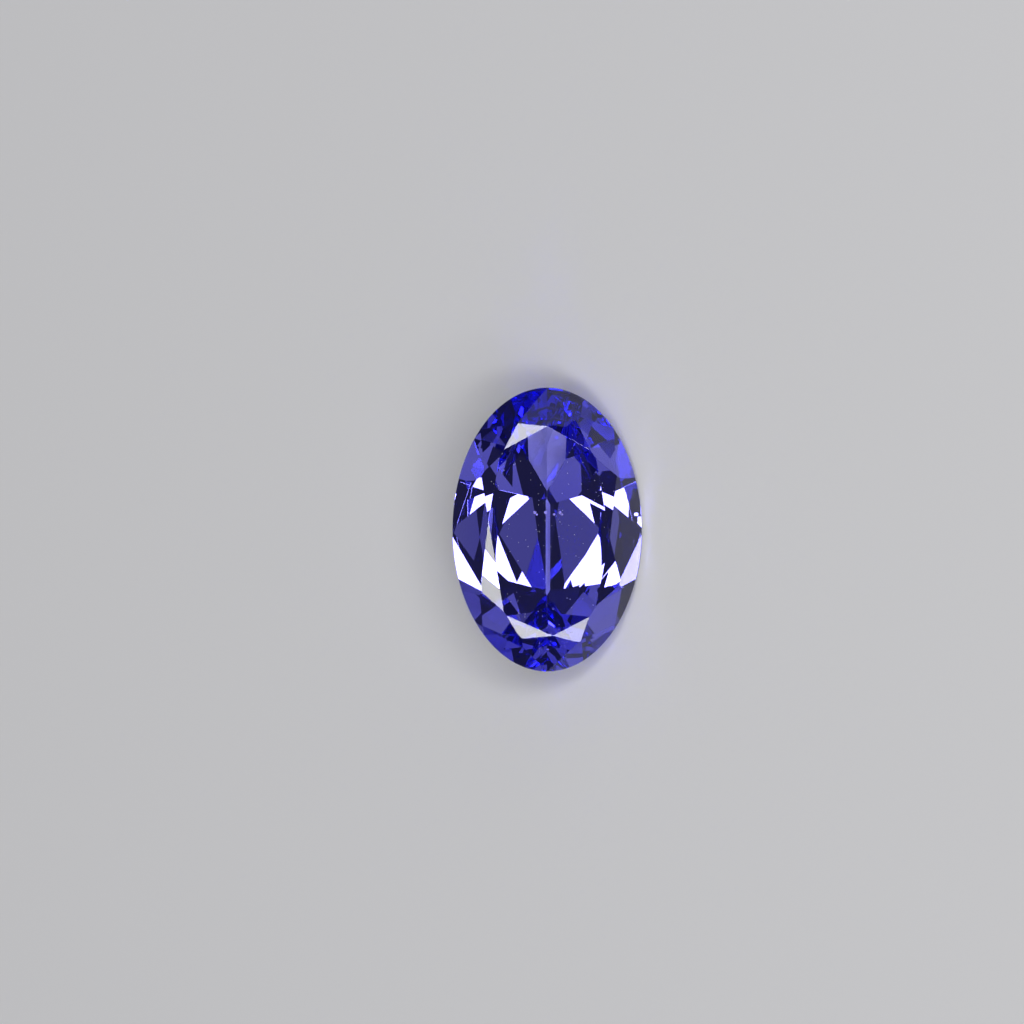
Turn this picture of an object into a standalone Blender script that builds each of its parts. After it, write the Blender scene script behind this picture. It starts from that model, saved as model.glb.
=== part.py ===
# An oval brilliant-cut tanzanite, resting on one long side facet of its pavilion.
# Lengths are in metres and angles in degrees. The stone is cut table up, with its long axis
# along Y and the middle plane of its girdle at Z = 0, and is then rolled over to rest.

import math

import bmesh
import bpy
from mathutils import Vector

# Size of the oval and heights from the girdle's middle plane
LENGTH = 0.0060
WIDTH = 0.0040
TABLE_HEIGHT = 0.00058
KEEL_DEPTH = 0.00162
GIRDLE_HALF = 0.00006
GIRDLE_STEPS = 96

# Working allowances: corners that cuts leave closer together than WELD are made one
BLANK_MARGIN = 0.0005
WELD = 0.000001

# Crown mains, anticlockwise from the right-hand side. corner is where the facet meets the
# table, girdle is the place where it reaches the girdle, as an angle around the oval, facing
# is the direction that the facet faces, and nip is how much it takes off the table's corner.
CROWN_MAINS = {
    "right": {"corner": (0.00132, -0.00018), "girdle": -2, "facing": 0, "nip": 0.0},
    "upper_right": {"corner": (0.00101, 0.00162), "girdle": 45, "facing": 35, "nip": 0.00005},
    "top": {"corner": (0.0, 0.00218), "girdle": 90, "facing": 90, "nip": 0.0},
    "upper_left": {"corner": (-0.00098, 0.00165), "girdle": 135, "facing": 148, "nip": 0.00004},
    "left": {"corner": (-0.00124, 0.00020), "girdle": 183, "facing": 180, "nip": 0.0},
    "lower_left": {"corner": (-0.00091, -0.00179), "girdle": 228, "facing": 216, "nip": 0.00003},
    "bottom": {"corner": (0.00012, -0.00224), "girdle": 270, "facing": 270, "nip": 0.0},
    "lower_right": {"corner": (0.00099, -0.00179), "girdle": 315, "facing": 329, "nip": 0.00006},
}

# Outer tips of the star facets, each between one crown main and the next
STAR_TIPS = [
    (0.00150, 0.00107),
    (0.00069, 0.00227),
    (-0.00061, 0.00225),
    (-0.00148, 0.00096),
    (-0.00136, -0.00140),
    (-0.00046, -0.00237),
    (0.00073, -0.00236),
    (0.00152, -0.00124),
]

# Pavilion mains, anticlockwise from the right-hand side. girdle is where the facet's tip
# reaches the girdle, turn is how far the facet is turned from facing squarely out there,
# slope is its angle to the table, and split is how far down the edge to the next main the
# pair of small facets between them starts, as a share of the keel's depth.
PAVILION_MAINS = {
    "right": {"girdle": 0, "turn": 0, "slope": 38.9, "split": 0.70},
    "upper_right": {"girdle": 40, "turn": 0, "slope": 38.5, "split": 0.62},
    "top_right": {"girdle": 77, "turn": 0, "slope": 35.0, "split": 0.55},
    "top_left": {"girdle": 103, "turn": 0, "slope": 35.0, "split": 0.62},
    "upper_left": {"girdle": 140, "turn": 0, "slope": 38.5, "split": 0.70},
    "left": {"girdle": 180, "turn": 0, "slope": 38.3, "split": 0.70},
    "lower_left": {"girdle": 220, "turn": 0, "slope": 44.4, "split": 0.70},
    "bottom_left": {"girdle": 256, "turn": 0, "slope": 51.0, "split": 0.70},
    "bottom_right": {"girdle": 284, "turn": 0, "slope": 51.0, "split": 0.70},
    "lower_right": {"girdle": 320, "turn": 0, "slope": 44.4, "split": 0.70},
}
RESTS_ON = "right"

# Material
GEM_COLOUR = (0.12, 0.09, 0.62, 1.0)
GEM_ROUGHNESS = 0.02
GEM_IOR = 1.69


def clear_scene():
    for old in list(bpy.data.objects):
        bpy.data.objects.remove(old, do_unlink=True)


def girdle_point(angle, height):
    turn = math.radians(angle)
    return Vector((WIDTH / 2 * math.cos(turn), LENGTH / 2 * math.sin(turn), height))


def girdle_facing(angle):
    turn = math.radians(angle)
    return math.degrees(math.atan2(math.sin(turn) / LENGTH, math.cos(turn) / WIDTH))


def middle_angle(first, second):
    if second < first:
        second += 360
    return (first + second) / 2


def slope_plane(point, facing, slope, up):
    # A cut through a point. up is 1 for the crown's side of the stone and -1 for the pavilion's.
    turn = math.radians(facing)
    tilt = math.radians(slope)
    outward = Vector((math.cos(turn), math.sin(turn), 0)) * math.sin(tilt)
    return point, outward + Vector((0, 0, up * math.cos(tilt)))


def three_point_plane(first, second, third):
    # A cut through three points, facing away from the middle of the stone
    normal = (second - first).cross(third - first).normalized()
    if normal.dot(first) < 0:
        normal.negate()
    return first, normal


def height_over(plane, x, y):
    point, normal = plane
    return point.z - (normal.x * (x - point.x) + normal.y * (y - point.y)) / normal.z


def meet_at_height(first, second, height):
    # The place at one height where two cuts meet
    rows = []
    for point, normal in (first, second):
        rows.append((normal.x, normal.y, normal.dot(point) - normal.z * height))
    (a, b, e), (c, d, f) = rows
    scale = a * d - b * c
    return Vector(((e * d - b * f) / scale, (a * f - e * c) / scale, height))


def crown_cuts():
    mains = list(CROWN_MAINS.values())
    cuts = [(Vector((0, 0, TABLE_HEIGHT)), Vector((0, 0, 1)))]
    main_cuts = []
    for main in mains:
        corner = Vector((*main["corner"], TABLE_HEIGHT))
        foot = girdle_point(main["girdle"], GIRDLE_HALF)
        turn = math.radians(main["facing"])
        facing = Vector((math.cos(turn), math.sin(turn), 0))
        run = facing.dot(foot - corner) + main["nip"]
        slope = math.degrees(math.atan2(TABLE_HEIGHT - GIRDLE_HALF, run))
        main_cuts.append(slope_plane(foot, main["facing"], slope, 1))
    cuts += main_cuts
    for index, (x, y) in enumerate(STAR_TIPS):
        after = (index + 1) % len(mains)
        heights = [height_over(main_cuts[i], x, y) for i in (index, after)]
        tip = Vector((x, y, sum(heights) / 2))
        corners = [Vector((*mains[i]["corner"], TABLE_HEIGHT)) for i in (index, after)]
        cuts.append(three_point_plane(corners[0], corners[1], tip))
        ends = [mains[i]["girdle"] for i in (index, after)]
        middle = girdle_point(middle_angle(*ends), GIRDLE_HALF)
        for end in ends:
            cuts.append(three_point_plane(tip, middle, girdle_point(end, GIRDLE_HALF)))
    return cuts


def pavilion_main_cut(main):
    foot = girdle_point(main["girdle"], -GIRDLE_HALF)
    facing = girdle_facing(main["girdle"]) + main["turn"]
    return slope_plane(foot, facing, main["slope"], -1)


def pavilion_cuts():
    mains = list(PAVILION_MAINS.values())
    main_cuts = [pavilion_main_cut(main) for main in mains]
    cuts = main_cuts + [(Vector((0, 0, -KEEL_DEPTH)), Vector((0, 0, -1)))]
    for index, main in enumerate(mains):
        after = (index + 1) % len(mains)
        depth = GIRDLE_HALF + main["split"] * (KEEL_DEPTH - GIRDLE_HALF)
        start = meet_at_height(main_cuts[index], main_cuts[after], -depth)
        ends = [main["girdle"], mains[after]["girdle"]]
        middle = girdle_point(middle_angle(*ends), -GIRDLE_HALF)
        for end in ends:
            cuts.append(three_point_plane(start, middle, girdle_point(end, -GIRDLE_HALF)))
    return cuts


def oval_blank():
    # The oval prism that the facets are cut from
    blank = bmesh.new()
    top = TABLE_HEIGHT + BLANK_MARGIN
    bottom = -KEEL_DEPTH - BLANK_MARGIN
    angles = [360 * step / GIRDLE_STEPS for step in range(GIRDLE_STEPS)]
    ring = [blank.verts.new(girdle_point(angle, bottom)) for angle in angles]
    base = blank.faces.new(ring[::-1])
    grown = bmesh.ops.extrude_face_region(blank, geom=[base])
    risen = [item for item in grown["geom"] if isinstance(item, bmesh.types.BMVert)]
    bmesh.ops.translate(blank, verts=risen, vec=(0, 0, top - bottom))
    bmesh.ops.recalc_face_normals(blank, faces=blank.faces[:])
    return blank


def cut_facet(stone, point, normal):
    everything = stone.verts[:] + stone.edges[:] + stone.faces[:]
    result = bmesh.ops.bisect_plane(
        stone, geom=everything, plane_co=point, plane_no=normal, dist=WELD / 100, clear_outer=True
    )
    rim = [item for item in result["geom_cut"] if isinstance(item, bmesh.types.BMEdge)]
    if rim:
        bmesh.ops.contextual_create(stone, geom=rim)


def tidy_corners(stone):
    bmesh.ops.remove_doubles(stone, verts=stone.verts[:], dist=WELD)
    bmesh.ops.dissolve_degenerate(stone, dist=WELD, edges=stone.edges[:])
    bmesh.ops.recalc_face_normals(stone, faces=stone.faces[:])


def roll_to_rest(stone):
    # Turn the facet it rests on to face straight down, and stand the stone on the origin
    facet = pavilion_main_cut(PAVILION_MAINS[RESTS_ON])[1]
    turn = facet.rotation_difference(Vector((0, 0, -1))).to_matrix()
    bmesh.ops.rotate(stone, cent=(0, 0, 0), matrix=turn, verts=stone.verts[:])
    lows = [min(vert.co[axis] for vert in stone.verts) for axis in range(3)]
    highs = [max(vert.co[axis] for vert in stone.verts) for axis in range(3)]
    middle = Vector(((lows[0] + highs[0]) / 2, (lows[1] + highs[1]) / 2, lows[2]))
    bmesh.ops.translate(stone, verts=stone.verts[:], vec=-middle)


def gem_material():
    material = bpy.data.materials.new("tanzanite")
    material.use_nodes = True
    shader = material.node_tree.nodes["Principled BSDF"]
    shader.inputs["Base Color"].default_value = GEM_COLOUR
    shader.inputs["Roughness"].default_value = GEM_ROUGHNESS
    shader.inputs["Metallic"].default_value = 0.0
    shader.inputs["IOR"].default_value = GEM_IOR
    shader.inputs["Transmission Weight"].default_value = 1.0
    return material


def make_gemstone():
    stone = oval_blank()
    for point, normal in crown_cuts() + pavilion_cuts():
        cut_facet(stone, point, normal)
    tidy_corners(stone)
    roll_to_rest(stone)
    mesh = bpy.data.meshes.new("gemstone")
    stone.to_mesh(mesh)
    stone.free()
    gemstone = bpy.data.objects.new("gemstone", mesh)
    gemstone.data.materials.append(gem_material())
    bpy.context.scene.collection.objects.link(gemstone)
    return gemstone


clear_scene()
make_gemstone()
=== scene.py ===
# A small oval tanzanite resting on one of its pavilion facets, looked at straight down its table

import math

import bmesh
import bpy
from mathutils import Matrix, Vector


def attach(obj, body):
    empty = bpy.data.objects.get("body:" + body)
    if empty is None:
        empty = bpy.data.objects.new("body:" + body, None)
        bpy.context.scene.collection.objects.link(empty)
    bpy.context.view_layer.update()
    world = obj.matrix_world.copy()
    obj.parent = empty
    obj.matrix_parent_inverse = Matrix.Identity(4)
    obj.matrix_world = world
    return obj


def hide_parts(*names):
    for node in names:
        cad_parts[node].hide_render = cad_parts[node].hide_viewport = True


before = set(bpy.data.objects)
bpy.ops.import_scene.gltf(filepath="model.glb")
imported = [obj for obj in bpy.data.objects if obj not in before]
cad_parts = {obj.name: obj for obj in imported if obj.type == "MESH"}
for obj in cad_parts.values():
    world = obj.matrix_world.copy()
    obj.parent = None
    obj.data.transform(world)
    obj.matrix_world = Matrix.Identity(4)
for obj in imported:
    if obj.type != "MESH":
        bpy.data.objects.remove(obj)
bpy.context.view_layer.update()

millimetre = 0.001


# Shared helpers

def linkObject(newObject):
    bpy.context.scene.collection.objects.link(newObject)
    return newObject


def startMaterial(name, roughness):
    material = bpy.data.materials.new(name)
    material.use_nodes = True
    shader = material.node_tree.nodes["Principled BSDF"]
    shader.inputs["Roughness"].default_value = roughness
    return material, shader


def addNoise(tree, scale, detail):
    # Noise on the piece's own coordinates
    place = tree.nodes.new("ShaderNodeTexCoord")
    noise = tree.nodes.new("ShaderNodeTexNoise")
    noise.inputs["Scale"].default_value = scale
    noise.inputs["Detail"].default_value = detail
    tree.links.new(place.outputs["Object"], noise.inputs["Vector"])
    return noise


# The stone, its facet junctions softened as a polishing wheel leaves them
stone = {
    "weld": 0.0005 * millimetre,
    "junctionWidth": 0.012 * millimetre,
    "flatAngle": 0.2,           # degrees, under which two triangles are one facet
    "girdleAngle": 8.0,         # degrees, under which neighbouring girdle strips stay unbevelled
    "girdleLean": 0.05,         # a face whose normal rises less than this along the table's is girdle
    "tableRise": 0.3,           # the table's normal rises at least this much
    "ior": 1.69,
    "facetRoughness": 0.0,
    "girdleRoughness": 0.22,
    "polishWave": 0.9 * millimetre,     # length of the slow waves left in the polish
    "polishDepth": 0.0009 * millimetre,
    "polishDetail": 1.5,
    "absorbColour": (0.30, 0.28, 0.965, 1.0),
    "absorbDensity": 500.0,
}


def addPolish(tree, shader):
    waves = addNoise(tree, 1 / stone["polishWave"], stone["polishDetail"])
    relief = tree.nodes.new("ShaderNodeBump")
    relief.inputs["Distance"].default_value = stone["polishDepth"]
    relief.inputs["Strength"].default_value = 1.0
    tree.links.new(waves.outputs["Fac"], relief.inputs["Height"])
    tree.links.new(relief.outputs["Normal"], shader.inputs["Normal"])


def stoneMaterial(name, roughness):
    material, shader = startMaterial(name, roughness)
    tree = material.node_tree
    shader.inputs["Base Color"].default_value = (1.0, 1.0, 1.0, 1.0)
    shader.inputs["IOR"].default_value = stone["ior"]
    shader.inputs["Transmission Weight"].default_value = 1.0
    inside = tree.nodes.new("ShaderNodeVolumeAbsorption")
    inside.inputs["Color"].default_value = stone["absorbColour"]
    inside.inputs["Density"].default_value = stone["absorbDensity"]
    tree.links.new(inside.outputs["Volume"], tree.nodes["Material Output"].inputs["Volume"])
    addPolish(tree, shader)
    return material


def largestUpwardFacet(mesh):
    up = [face for face in mesh.polygons if face.normal.z > stone["tableRise"]]
    return max(up, key=lambda face: face.area)


def softenedStone():
    # The solid's own mesh, with whole facets again and narrow bevels between them
    shape = bmesh.new()
    shape.from_mesh(bpy.data.objects["gemstone"].data)
    bmesh.ops.remove_doubles(shape, verts=shape.verts[:], dist=stone["weld"])
    bmesh.ops.dissolve_limit(
        shape, angle_limit=math.radians(stone["flatAngle"]), verts=shape.verts[:], edges=shape.edges[:]
    )
    bmesh.ops.recalc_face_normals(shape, faces=shape.faces[:])
    sharp = math.radians(stone["girdleAngle"])
    junctions = [edge for edge in shape.edges if edge.calc_face_angle(0) > sharp]
    bmesh.ops.bevel(
        shape, geom=junctions, offset=stone["junctionWidth"], offset_type="WIDTH",
        segments=1, profile=0.5, affect="EDGES", clamp_overlap=True
    )
    mesh = bpy.data.meshes.new("tanzaniteStone")
    shape.to_mesh(mesh)
    shape.free()
    return mesh


def makeStone():
    mesh = softenedStone()
    mesh.materials.append(stoneMaterial("tanzaniteFacets", stone["facetRoughness"]))
    mesh.materials.append(stoneMaterial("tanzaniteGirdle", stone["girdleRoughness"]))
    upward = Vector(largestUpwardFacet(mesh).normal)
    for face in mesh.polygons:
        if abs(face.normal.dot(upward)) < stone["girdleLean"]:
            face.material_index = 1
    piece = linkObject(bpy.data.objects.new("tanzaniteStone", mesh))
    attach(piece, "root")
    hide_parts("gemstone")
    print("stone made:", len(mesh.polygons), "faces")
    return piece


tanzanite = makeStone()


# The stone's own directions, from its table, which is its largest facet that faces upwards
tableNormal = Vector(largestUpwardFacet(tanzanite.data).normal)
longAxis = (Vector((0, 1, 0)) - tableNormal * tableNormal.y).normalized()
acrossAxis = longAxis.cross(tableNormal).normalized()
corners = [Vector(vertex.co) for vertex in tanzanite.data.vertices]


def middleAlong(axis):
    reach = [corner.dot(axis) for corner in corners]
    return (min(reach) + max(reach)) / 2


stoneMiddle = sum((axis * middleAlong(axis) for axis in (acrossAxis, longAxis, tableNormal)), Vector())


def inStone(across, along, height):
    # A place given in millimetres from the middle of the stone, as the camera sees it
    return stoneMiddle + (acrossAxis * across + longAxis * along + tableNormal * height) * millimetre


# Lumps scattered over a mesh by Geometry Nodes. density is in lumps a square metre, small and
# large are the least and greatest radius in millimetres, and only faces whose normal rises more
# than facing along the table's carry them.
dust = {"density": 17.0e6, "small": 0.0025, "large": 0.0085, "seed": 4, "facing": 0.93}
pinpoints = {"density": 110.0e6, "small": 0.002, "large": 0.006, "seed": 11, "facing": -2.0}
scatterInputs = {
    "Geometry": "Geometry", "Density": "Float", "Small": "Float", "Large": "Float",
    "Facing": "Float", "Seed": "Int", "Up": "Vector", "Material": "Material",
}


def scatterTree():
    tree = bpy.data.node_groups.new("scatterLumps", "GeometryNodeTree")
    for name, kind in scatterInputs.items():
        tree.interface.new_socket(name, in_out="INPUT", socket_type="NodeSocket" + kind)
    tree.interface.new_socket("Geometry", in_out="OUTPUT", socket_type="NodeSocketGeometry")
    start = tree.nodes.new("NodeGroupInput")
    end = tree.nodes.new("NodeGroupOutput")
    normal = tree.nodes.new("GeometryNodeInputNormal")
    lean = tree.nodes.new("ShaderNodeVectorMath")
    lean.operation = "DOT_PRODUCT"
    allowed = tree.nodes.new("FunctionNodeCompare")
    allowed.operation = "GREATER_THAN"
    points = tree.nodes.new("GeometryNodeDistributePointsOnFaces")
    lump = tree.nodes.new("GeometryNodeMeshIcoSphere")
    lump.inputs["Radius"].default_value = millimetre
    sizes = tree.nodes.new("FunctionNodeRandomValue")
    copies = tree.nodes.new("GeometryNodeInstanceOnPoints")
    real = tree.nodes.new("GeometryNodeRealizeInstances")
    dress = tree.nodes.new("GeometryNodeSetMaterial")
    join = tree.links.new
    join(normal.outputs["Normal"], lean.inputs[0])
    join(start.outputs["Up"], lean.inputs[1])
    join(lean.outputs["Value"], allowed.inputs[0])
    join(start.outputs["Facing"], allowed.inputs[1])
    join(start.outputs["Geometry"], points.inputs["Mesh"])
    join(allowed.outputs["Result"], points.inputs["Selection"])
    join(start.outputs["Density"], points.inputs["Density"])
    join(start.outputs["Seed"], points.inputs["Seed"])
    # Inputs 2 and 3 of the random value are its least and greatest number, output 1 the number
    join(start.outputs["Small"], sizes.inputs[2])
    join(start.outputs["Large"], sizes.inputs[3])
    join(start.outputs["Seed"], sizes.inputs["Seed"])
    join(points.outputs["Points"], copies.inputs["Points"])
    join(lump.outputs["Mesh"], copies.inputs["Instance"])
    join(sizes.outputs[1], copies.inputs["Scale"])
    join(copies.outputs["Instances"], real.inputs["Geometry"])
    join(real.outputs["Geometry"], dress.inputs["Geometry"])
    join(start.outputs["Material"], dress.inputs["Material"])
    join(dress.outputs["Geometry"], end.inputs["Geometry"])
    return tree


def scatterOver(mesh, name, settings, material, tree):
    holder = linkObject(bpy.data.objects.new(name, mesh))
    modifier = holder.modifiers.new("scatter", "NODES")
    modifier.node_group = tree
    wanted = {
        "Density": settings["density"], "Small": settings["small"], "Large": settings["large"],
        "Facing": settings["facing"], "Seed": settings["seed"], "Up": tableNormal, "Material": material,
    }
    for item in tree.interface.items_tree:
        if item.item_type == "SOCKET" and item.in_out == "INPUT" and item.name in wanted:
            modifier[item.identifier] = wanted[item.name]
    ready = holder.evaluated_get(bpy.context.evaluated_depsgraph_get())
    result = bpy.data.meshes.new_from_object(ready)
    bpy.data.objects.remove(holder, do_unlink=True)
    piece = linkObject(bpy.data.objects.new(name, result))
    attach(piece, "root")
    print(name, "made:", len(result.polygons), "faces")


# Looks of the lumps. glow is painted light: an emission that makes a lump shine though it is no lamp,
# standing in for the light that a lump inside the stone would scatter on.
lumpLook = {"roughness": 0.6, "speckle": 9 / millimetre, "detail": 2.0}
dustLook = {"light": (0.90, 0.91, 0.95, 1), "dark": (0.7, 0.7, 0.75, 1), "glow": 0.0}
# The flaws glow with painted light, an emission of 0.5 in their pale colour.
flawAndPaintedGlowLook = {"light": (0.9, 0.82, 0.92, 1), "dark": (0.6, 0.55, 0.7, 1), "glow": 0.5}


def lumpMaterial(name, look):
    material, shader = startMaterial(name, lumpLook["roughness"])
    tree = material.node_tree
    # Emission in the lump's light colour at its glow strength is painted glow. It is nought for the dust
    # and 0.5 for the flaws.
    shader.inputs["Emission Color"].default_value = look["light"]
    shader.inputs["Emission Strength"].default_value = look["glow"]
    speckle = addNoise(tree, lumpLook["speckle"], lumpLook["detail"])
    tint = tree.nodes.new("ShaderNodeValToRGB")
    tint.color_ramp.elements[0].color = look["dark"]
    tint.color_ramp.elements[1].color = look["light"]
    tree.links.new(speckle.outputs["Fac"], tint.inputs["Fac"])
    tree.links.new(tint.outputs["Color"], shader.inputs["Base Color"])
    return material


# A slightly bent patch inside the lower end, over which the pinpoints lie, in millimetres
veil = {
    "across": 0.10, "along": -2.25, "height": 0.28,     # its middle
    "halfAcross": 0.336, "halfAlong": 0.252,
    "bend": 0.10, "bendAcross": 1.8, "bendAlong": 0.9,
    "steps": 8,
}


def veilPatch():
    steps = veil["steps"]
    shares = [step / steps * 2 - 1 for step in range(steps + 1)]
    spots = []
    for v in shares:
        for u in shares:
            rise = veil["bend"] * math.cos(veil["bendAcross"] * u + veil["bendAlong"] * v)
            across = veil["across"] + veil["halfAcross"] * u
            along = veil["along"] + veil["halfAlong"] * v
            spots.append(inStone(across, along, veil["height"] + rise))
    row = steps + 1
    starts = [along * row + across for along in range(steps) for across in range(steps)]
    faces = [(start, start + 1, start + row + 1, start + row) for start in starts]
    mesh = bpy.data.meshes.new("veilPatch")
    mesh.from_pydata(spots, [], faces)
    return mesh


# Two small inclusions beside the keel, in millimetres, each a sphere with slow waves on it
keelMarks = [
    {"across": -0.03, "along": 0.36, "height": -0.86, "radius": 0.032},
    {"across": 0.15, "along": 0.32, "height": -0.86, "radius": 0.025},
]
markShape = {
    "subdivisions": 3,
    "lumpiness": 0.16,
    "firstWave": (4, 2, 0),
    "secondWave": (0, -3, 5),
}


def makeKeelMarks(material):
    firstWave = Vector(markShape["firstWave"])
    secondWave = Vector(markShape["secondWave"])
    shape = bmesh.new()
    for mark in keelMarks:
        centre = inStone(mark["across"], mark["along"], mark["height"])
        grown = bmesh.ops.create_icosphere(
            shape, subdivisions=markShape["subdivisions"], radius=mark["radius"] * millimetre
        )
        for vertex in grown["verts"]:
            outward = vertex.co.normalized()
            wave = math.sin(firstWave.dot(outward)) * math.cos(secondWave.dot(outward))
            vertex.co = centre + vertex.co * (1 + markShape["lumpiness"] * wave)
    mesh = bpy.data.meshes.new("keelMarks")
    shape.to_mesh(mesh)
    shape.free()
    mesh.materials.append(material)
    piece = linkObject(bpy.data.objects.new("keelMarks", mesh))
    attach(piece, "root")
    print("keel marks made:", len(keelMarks))


def makeSpecks():
    tree = scatterTree()
    # The flaws' material carries painted glow, and both the veil's pinpoints and the keel marks wear it.
    flawAndPaintedGlowMaterial = lumpMaterial("flawsWithPaintedGlow", flawAndPaintedGlowLook)
    scatterOver(tanzanite.data.copy(), "surfaceDust", dust, lumpMaterial("dust", dustLook), tree)
    scatterOver(veilPatch(), "innerVeil", pinpoints, flawAndPaintedGlowMaterial, tree)
    makeKeelMarks(flawAndPaintedGlowMaterial)


makeSpecks()


# Camera, square on to the table as the photograph is, with the long axis upright
camera = {
    "distance": 0.20,
    "fieldWidth": 0.02171,      # metres across the picture at the stone
    "stoneX": 547.0,            # where the middle of the stone lies in the 1024 pixel picture
    "stoneY": 529.5,
    "pictureSize": 1024,
    "sensorWidth": 36.0,
    "nearest": 0.01,
    "farthest": 5.0,
}


def makeCamera():
    lens = bpy.data.cameras.new("camera")
    lens.sensor_fit = "HORIZONTAL"
    lens.sensor_width = camera["sensorWidth"]
    lens.lens = lens.sensor_width * camera["distance"] / camera["fieldWidth"]
    lens.clip_start = camera["nearest"]
    lens.clip_end = camera["farthest"]
    pixel = camera["fieldWidth"] / camera["pictureSize"]
    offX = (camera["stoneX"] - camera["pictureSize"] / 2) * pixel
    offY = (camera["pictureSize"] / 2 - camera["stoneY"]) * pixel
    aim = stoneMiddle - acrossAxis * offX - longAxis * offY
    eye = linkObject(bpy.data.objects.new("camera", lens))
    turn = Matrix((acrossAxis, longAxis, tableNormal)).transposed()
    eye.matrix_world = Matrix.Translation(aim + tableNormal * camera["distance"]) @ turn.to_4x4()
    bpy.context.scene.camera = eye
    print("camera placed")


makeCamera()


# Pale floor that the stone rests on
floor = {
    "size": 1.2,
    "gap": 0.008 * millimetre,
    "colour": (0.80, 0.80, 0.815, 1.0),
    "roughness": 0.7,
}


def makeFloor():
    half = floor["size"] / 2
    mesh = bpy.data.meshes.new("floor")
    spots = [(-half, -half), (half, -half), (half, half), (-half, half)]
    mesh.from_pydata([(x, y, -floor["gap"]) for x, y in spots], [], [(0, 1, 2, 3)])
    material, shader = startMaterial("paleFloor", floor["roughness"])
    shader.inputs["Base Color"].default_value = floor["colour"]
    mesh.materials.append(material)
    ground = linkObject(bpy.data.objects.new("floor", mesh))
    print("floor made")


makeFloor()


# Soft boxes, each placed by how far it leans from the table's normal and towards which side
# of the picture (0 is right, 90 is the top), in degrees, with its distance and size in metres
softBoxes = {
    "belowRight": {"lean": 28, "side": 297, "distance": 0.5, "width": 0.08, "height": 0.08, "radiance": 8},
    "besideLeft": {"lean": 33, "side": 193, "distance": 0.5, "width": 0.06, "height": 0.06, "radiance": 8},
    "below": {"lean": 52, "side": 262, "distance": 0.5, "width": 0.34, "height": 0.16, "radiance": 0.45},
    "above": {"lean": 56, "side": 85, "distance": 0.5, "width": 0.34, "height": 0.16, "radiance": 0.42},
}

# A ring of soft boxes around the camera's direction
ringLight = {
    "count": 12, "lean": 15.7, "distance": 0.5, "width": 0.075, "height": 0.084, "radiance": 9,
    "sideRadiance": 0.25,       # of its two boxes straight to the left and right
}

# The camera itself sees the backdrop beyond the floor's edge, and everything else the glow
surroundings = {
    "glow": (0.045, 0.045, 0.05, 1.0),
    "backdrop": (0.50, 0.50, 0.515, 1.0),
}


def makeSoftBox(name, box):
    lean = math.radians(box["lean"])
    side = math.radians(box["side"])
    sideways = acrossAxis * math.cos(side) + longAxis * math.sin(side)
    towards = tableNormal * math.cos(lean) + sideways * math.sin(lean)
    light = bpy.data.lights.new(name, "AREA")
    light.shape = "RECTANGLE"
    light.size = box["width"]
    light.size_y = box["height"]
    light.energy = math.pi * box["width"] * box["height"] * box["radiance"]
    lamp = linkObject(bpy.data.objects.new(name, light))
    lamp.matrix_world = Matrix.Translation(stoneMiddle + towards * box["distance"]) @ (
        towards.to_track_quat("Z", "Y").to_matrix().to_4x4()
    )


def makeRingLight():
    for place in range(ringLight["count"]):
        box = {**ringLight, "side": 360 * place / ringLight["count"]}
        if box["side"] % 180 == 0:
            box["radiance"] = ringLight["sideRadiance"]
        makeSoftBox("ringBox%02d" % place, box)


def makeWorld():
    world = bpy.data.worlds.new("studio")
    world.use_nodes = True
    tree = world.node_tree
    path = tree.nodes.new("ShaderNodeLightPath")
    choice = tree.nodes.new("ShaderNodeMix")
    choice.data_type = "RGBA"
    choice.inputs["A"].default_value = surroundings["glow"]
    choice.inputs["B"].default_value = surroundings["backdrop"]
    tree.links.new(path.outputs["Is Camera Ray"], choice.inputs["Factor"])
    tree.links.new(choice.outputs["Result"], tree.nodes["Background"].inputs["Color"])
    bpy.context.scene.world = world


def makeLight():
    for name, box in softBoxes.items():
        makeSoftBox(name, box)
    makeRingLight()
    makeWorld()
    print("lights placed:", len(softBoxes) + ringLight["count"])


makeLight()


# Light paths long enough for the reflections inside the stone, and plain colours
lightPaths = {
    "max_bounces": 40,
    "glossy_bounces": 32,
    "transmission_bounces": 32,
    "volume_bounces": 2,
    "sample_clamp_indirect": 20.0,
    "blur_glossy": 0.0,
}


def setUpScene():
    scene = bpy.context.scene
    for name, value in lightPaths.items():
        setattr(scene.cycles, name, value)
    scene.view_settings.view_transform = "Standard"
    scene.view_settings.look = "None"
    print("scene set up")


setUpScene()
